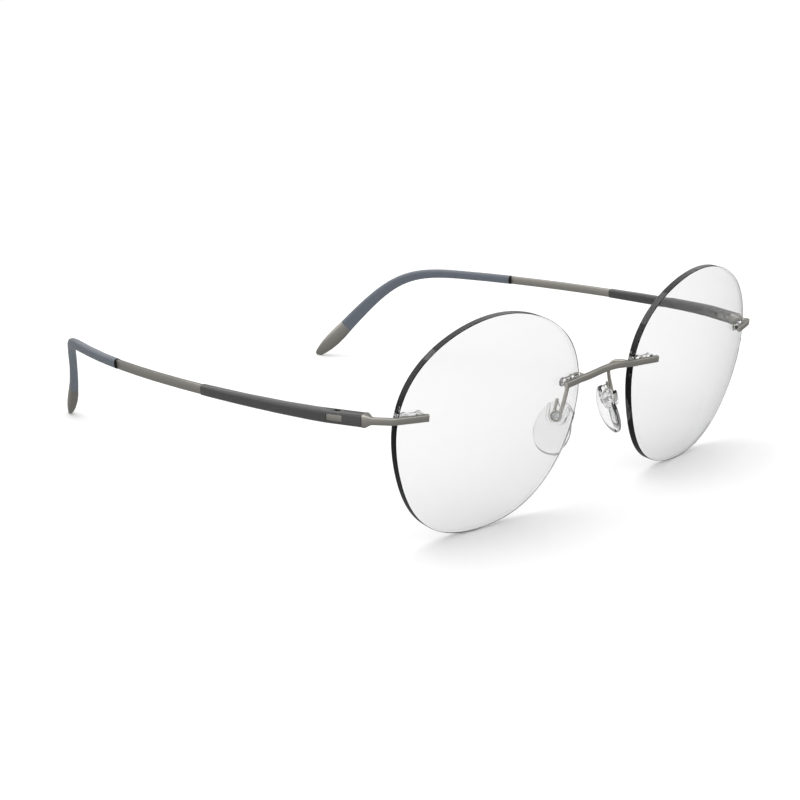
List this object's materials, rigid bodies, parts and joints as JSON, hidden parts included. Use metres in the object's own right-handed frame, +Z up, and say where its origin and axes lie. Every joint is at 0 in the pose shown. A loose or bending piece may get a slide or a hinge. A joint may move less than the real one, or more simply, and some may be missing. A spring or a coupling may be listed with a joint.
{
  "type": "eyeglasses",
  "caption": "Rimless eyeglasses: round clear lenses held by a thin metal bridge and end pieces, clear nose pads on wire arms, and folding temples with bent tips.",
  "frame": {"origin": "on the surface the glasses stand on, in the plane of symmetry, half way along their length with the temples open", "axes": "+Z up; the lenses face -Y and the temples run back along +Y; +X is the wearer's left"},
  "size_m": [0.1366, 0.1459, 0.0461],
  "materials": {
    "lens": "polished clear plastic lens with an anti-reflection coating",
    "titanium": "satin warm grey titanium",
    "dark_titanium": "satin grey titanium",
    "steel_pin": "bright drawn wire",
    "smoke_plastic": "translucent smoke grey",
    "slate_plastic": "translucent blue grey",
    "silicone": "clear silicone",
    "clear_plastic": "clear hard plastic"
  },
  "bodies": {
    "front": {"lens_left": "lens", "lens_right": "lens", "bridge": "titanium", "end_piece_left": "titanium", "end_piece_right": "titanium", "bridge_sleeves_left": "clear_plastic", "bridge_sleeves_right": "clear_plastic", "end_sleeves_left": "clear_plastic", "end_sleeves_right": "clear_plastic", "pad_arm_left": "titanium", "pad_arm_right": "titanium"},
    "temple_left": {"hinge_fork_left": "titanium", "hinge_pin_left": "steel_pin", "temple_strip_left": "titanium", "temple_cover_left": "smoke_plastic", "tip_sleeve_left": "slate_plastic", "tip_end_left": "dark_titanium"},
    "temple_right": {"hinge_fork_right": "titanium", "hinge_pin_right": "steel_pin", "temple_strip_right": "titanium", "temple_cover_right": "smoke_plastic", "tip_sleeve_right": "slate_plastic", "tip_end_right": "dark_titanium"},
    "pad_left": {"nose_pad_left": "silicone", "pad_stud_left": "clear_plastic"},
    "pad_right": {"nose_pad_right": "silicone", "pad_stud_right": "clear_plastic"}
  },
  "joints": [
    {"name": "hinge_left", "type": "hinge", "parent": "front", "child": "temple_left", "pos_m": [0.06138, -0.059, 0.0282], "axis": [0, 0, 1], "range_deg": [0, 86]},
    {"name": "hinge_right", "type": "hinge", "parent": "front", "child": "temple_right", "pos_m": [-0.06138, -0.059, 0.0282], "axis": [0, 0, -1], "range_deg": [0, 78]},
    {"name": "pad_turn_left", "type": "hinge", "parent": "front", "child": "pad_left", "pos_m": [0.01003, -0.06444, 0.01925], "axis": [-0.8749, 0.353, -0.3315], "range_deg": [-8, 8]},
    {"name": "pad_turn_right", "type": "hinge", "parent": "front", "child": "pad_right", "pos_m": [-0.01003, -0.06444, 0.01925], "axis": [-0.8749, -0.353, 0.3315], "range_deg": [-8, 8]}
  ]
}
